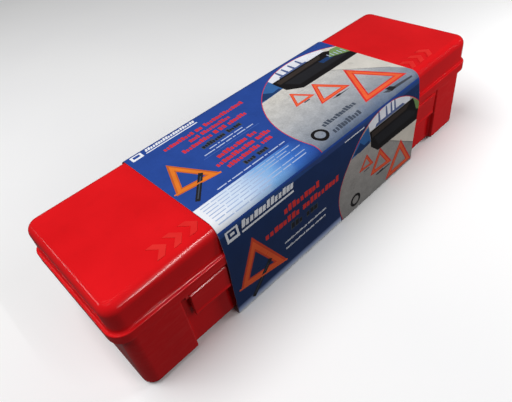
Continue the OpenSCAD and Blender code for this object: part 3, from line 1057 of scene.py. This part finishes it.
def cover_art():
    """The front and top panels, each with its round picture in a fine red outline."""
    out = []
    for on_top, panel, window, road, picture in (
        (False, front_panel, FRONT_WINDOW, "road_front", front_picture),
        (True, top_panel, TOP_WINDOW, "road_top", top_picture),
    ):
        rim = (*window[:2], window[2] + OUTLINE)
        out += placed(None, panel())
        out += placed((on_top, rim), [("red", circle(*rim, 96)), (road, circle(*window, 96))])
        out += placed((on_top, window), picture())
    return out


def shown_in(point, where):
    """Whether a shape shows at a point of the sheet."""
    if where is None:
        return True
    on_top, (x, s, radius) = where
    inside = (point[0] - x) ** 2 + (point[1] - s) ** 2 < radius * radius
    return inside and (point[1] > PRINT_FOLD) == on_top


# ---- folding the sheet ----
def split_sheet(shapes, across, along):
    """Cuts the flat sheet along grid lines and print outlines.
    Returns points, triangles and each triangle's ink."""
    points, edges, faces = [], [], []

    def add(point):
        points.append(Vector(point))
        return len(points) - 1

    for x in across:
        edges.append((add((x, along[0])), add((x, along[-1]))))
    for s in along:
        edges.append((add((across[0], s)), add((across[-1], s))))
    for _ink, outline, _where in shapes:
        area = sum(outline[i - 1][0] * outline[i][1] - outline[i][0] * outline[i - 1][1]
                   for i in range(len(outline)))
        loop = outline if area > 0 else list(reversed(outline))
        faces.append([add(p) for p in loop])
    verts, _edges, tris, _ov, _oe, owners = delaunay_2d_cdt(points, edges, faces, 0, 1e-4)
    keep, inks = [], []
    for tri, owner in zip(tris, owners):
        middle = (verts[tri[0]] + verts[tri[1]] + verts[tri[2]]) / 3
        if not (across[0] < middle.x < across[-1] and along[0] < middle.y < along[-1]):
            continue
        ink = "blue"
        for k in sorted(owner):
            if shown_in(middle, shapes[k][2]):
                ink = shapes[k][0]
        keep.append(tuple(tri))
        inks.append(ink)
    return verts, keep, inks


def folded(flat, path, marks, sink):
    """Outer and inner card points, in mm, of flat points folded round a line."""
    normals = path_normals(path)
    outer, inner = [], []
    for x, s in flat:
        k = max(i for i in range(len(marks)) if marks[i] <= s + 1e-4 or i == 0)
        if abs(marks[k] - s) < 1e-3:
            normal = normals[k]
        else:
            step = Vector(path[k + 1]) - Vector(path[k])
            normal = Vector((-step.y, step.x)).normalized()
        top = on_path(path, marks, s) - normal * sink(x, s)
        low = top - normal * CARD
        outer.append((x, top.x, top.y))
        inner.append((x, low.x, low.y))
    return outer, inner


def card_faces(tris, count):
    """Printed triangles, the board behind them, and the cut edges between the two."""
    sides = {(tri[i], tri[(i + 1) % 3]): True for tri in tris for i in range(3)}
    faces = list(tris)
    faces += [tuple(reversed([i + count for i in tri])) for tri in tris]
    rim = [(a, b) for a, b in sides if (b, a) not in sides]
    return faces + [(b, a, a + count, b + count) for a, b in rim]


def ink_faces(mesh, flat, inks):
    """Gives each face its material, ink colour and place on the flat sheet."""
    layer = mesh.color_attributes.new("ink", "FLOAT_COLOR", "CORNER")
    chart = mesh.uv_layers.new(name="sheet")
    order = list(CARD_LOOKS)
    edge_faces = len(mesh.polygons) - 2 * len(inks)
    looks = inks + ["board"] * len(inks) + ["cut_edge"] * edge_faces
    for polygon, look in zip(mesh.polygons, looks):
        polygon.material_index = order.index(look) if look in order else 0
        for corner in polygon.loop_indices:
            layer.data[corner].color = INKS.get(look, INKS["white"])
            x, s = flat[mesh.loops[corner].vertex_index % len(flat)]
            chart.data[corner].uv = (x * MM, s * MM)


def card_object(name, path, marks, shapes, across, along, sink):
    """Folds a printed flat sheet round a line and gives it the card's thickness."""
    flat, tris, inks = split_sheet(shapes, across, along)
    used = sorted({i for tri in tris for i in tri})
    index = {old: new for new, old in enumerate(used)}
    tris = [tuple(index[i] for i in tri) for tri in tris]
    flat = [flat[i] for i in used]
    outer, inner = folded(flat, path, marks, sink)
    mesh = bpy.data.meshes.new(name)
    mesh.from_pydata([Vector(v) * MM for v in outer + inner], [], card_faces(tris, len(flat)))
    for material in CARD_LOOKS.values():
        mesh.materials.append(material)
    ink_faces(mesh, flat, inks)
    mesh.validate()
    mesh.shade_smooth()
    mesh.set_sharp_from_angle(angle=math.radians(30))
    obj = add_object(name, mesh)
    return obj


def build_sleeve():
    across = [-SLEEVE_X + 2 * SLEEVE_X * i / 12 for i in range(13)]
    along = sorted(set(
        PATH_S + [FRONT_END * i / 8 for i in range(1, 8)]
        + [TOP_START + (TOP_END - TOP_START) * i / 10 for i in range(1, 10)]
        + [PATH_S[-1] - BACK_LONG * i / 18 for i in range(1, 18)]
    ))
    cover = card_object("sleeve_wrap", PATH, PATH_S, cover_art(), across, along, bow)
    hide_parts("sleeve_cover")
    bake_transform(cover)
    # from the rear seam down, under the case and a little way up its front
    hem = tray_low.y
    line = [(BACK_Y, SEAM_Z), (BACK_Y, 1.6), (71.1, 0.5), (70.0, 0.05), (69.0, 0.0)]
    line += [(hem + 2.0, 0.0), (hem + 0.8, 0.0), (hem + 0.35, 0.45), (hem + 0.1, 1.4)]
    line += [(hem + 0.2, 15.8)]
    marks = lengths_along(line)
    lower = card_object("sleeve_lower_wrap", line, marks, placed(None, rear_panel()), across,
                        sorted(set(marks)), lambda x, s: 0.0)
    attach(lower, "sleeve_lower")
    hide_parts("sleeve_tray")


# ---- stored triangles, pins and rivets keep their CAD shapes ----
NODE_LOOKS = (
    ("_pin", ZINC), ("_bolt", ZINC), ("rivet", ZINC), ("ballast", IRON),
    ("reflector", LENS_RED), ("panel", LENS_ORANGE), ("leg_", BLACK),
    ("_base", BLACK), ("apex_stud", BLACK), ("_arm", WHITE),
)


def dress_nodes():
    """Gives each CAD node that shows its material and softened edges."""
    for name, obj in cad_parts.items():
        if obj.hide_render:
            continue
        look = next(material for key, material in NODE_LOOKS if key in name)
        obj.data.materials.clear()
        obj.data.materials.append(look)
        weld = obj.modifiers.new("weld", "WELD")
        weld.merge_threshold = 0.00001
        flat = obj.modifiers.new("flat", "DECIMATE")
        flat.decimate_type = "DISSOLVE"
        flat.angle_limit = math.radians(1.0)
        soft = obj.modifiers.new("soft_edge", "BEVEL")
        soft.width = 0.0005
        soft.segments = 2
        soft.limit_method = "ANGLE"
        soft.angle_limit = math.radians(50)
        even = obj.modifiers.new("even_normals", "WEIGHTED_NORMAL")
        even.keep_sharp = False


# ---- stage: metres from here on ----
FLOOR_HALF = 6.0
FLOOR_DROP = 0.0002
WORLD_LIGHT = 0.055
CAMERA_AT = (-0.25596, -0.28289, 0.36365)
CAMERA_RIGHT = (0.71116, -0.69072, -0.13097)
CAMERA_UP = (0.54218, 0.42026, 0.72761)
CAMERA_LOOK = (0.44753, 0.58846, -0.67337)


def build_stage():
    bm = bmesh.new()
    for x, y in ((-1, -1), (1, -1), (1, 1), (-1, 1)):
        bm.verts.new((x * FLOOR_HALF, y * FLOOR_HALF, -FLOOR_DROP))
    bm.faces.new(bm.verts)
    floor = add_object("studio_floor", mesh_of("studio_floor", bm))
    s = Shade("studio_floor")
    cloud = s.between(s.noise(3.0, 2.0))
    s.set(Roughness=0.9, Specular_IOR_Level=0.1)
    tone = s.mix(cloud, linear(247, 247, 248), linear(251, 251, 251))
    floor.data.materials.append(s.finish(tone))
    # dark walls under a bright lid: the floor throws no light back at the case
    floor.visible_diffuse = False
    floor.visible_glossy = False


def area_light(name, place, target, size, power, along=(0, 0, 1)):
    """A rectangular light facing a point. Its second side follows the direction "along"."""
    light = bpy.data.lights.new(name, "AREA")
    light.shape = "RECTANGLE"
    light.size, light.size_y = size
    light.energy = power
    obj = add_object(name, light)
    facing = (Vector(place) - Vector(target)).normalized()
    side = Vector(along).cross(facing).normalized()
    turn = Matrix((side, facing.cross(side), facing)).transposed()
    obj.matrix_world = Matrix.Translation(place) @ turn.to_4x4()
    return obj


def build_lights():
    world = bpy.data.worlds.new("studio")
    bpy.context.scene.world = world
    world.use_nodes = True
    back = world.node_tree.nodes["Background"]
    back.inputs["Color"].default_value = (1, 1, 1, 1)
    back.inputs["Strength"].default_value = WORLD_LIGHT
    key = area_light("key_top", (-0.60, 0.30, 1.45), (0, 0, 0.08), (1.1, 1.1), 22.0, (0, 1, 0))
    area_light("strip_front", (0.064, -0.858, 0.695), (-0.18, -0.065, 0.108), (0.016, 0.85), 2.2,
               (0.217, 0.313, 0.475))
    area_light("strip_end", (-0.89, 0.70, 0.51), (-0.238, 0, 0.083), (0.4, 0.05), 0.3)
    fill = area_light("right_fill", (0.60, -0.36, 0.28), (0.22, -0.06, 0.05), (0.3, 0.2), 2.1)
    # the strips draw the highlights; the wide lights would only wash out the flat walls
    key.visible_glossy = False
    fill.visible_glossy = False
    bpy.context.scene.view_settings.view_transform = "Standard"


def build_camera():
    data = bpy.data.cameras.new("camera")
    data.lens = 33.1
    data.sensor_width = 36.0
    data.shift_x = -0.0006
    data.shift_y = -0.0177
    data.clip_start = 0.01
    data.clip_end = 50.0
    obj = add_object("camera", data)
    axes = Matrix((CAMERA_RIGHT, CAMERA_UP, -Vector(CAMERA_LOOK))).transposed()
    obj.matrix_world = Matrix.Translation(CAMERA_AT) @ axes.to_4x4()
    bpy.context.scene.camera = obj


build_camera()
build_base()
build_lid()
build_lid_details()
build_latches()
build_sleeve()
dress_nodes()
build_stage()
build_lights()
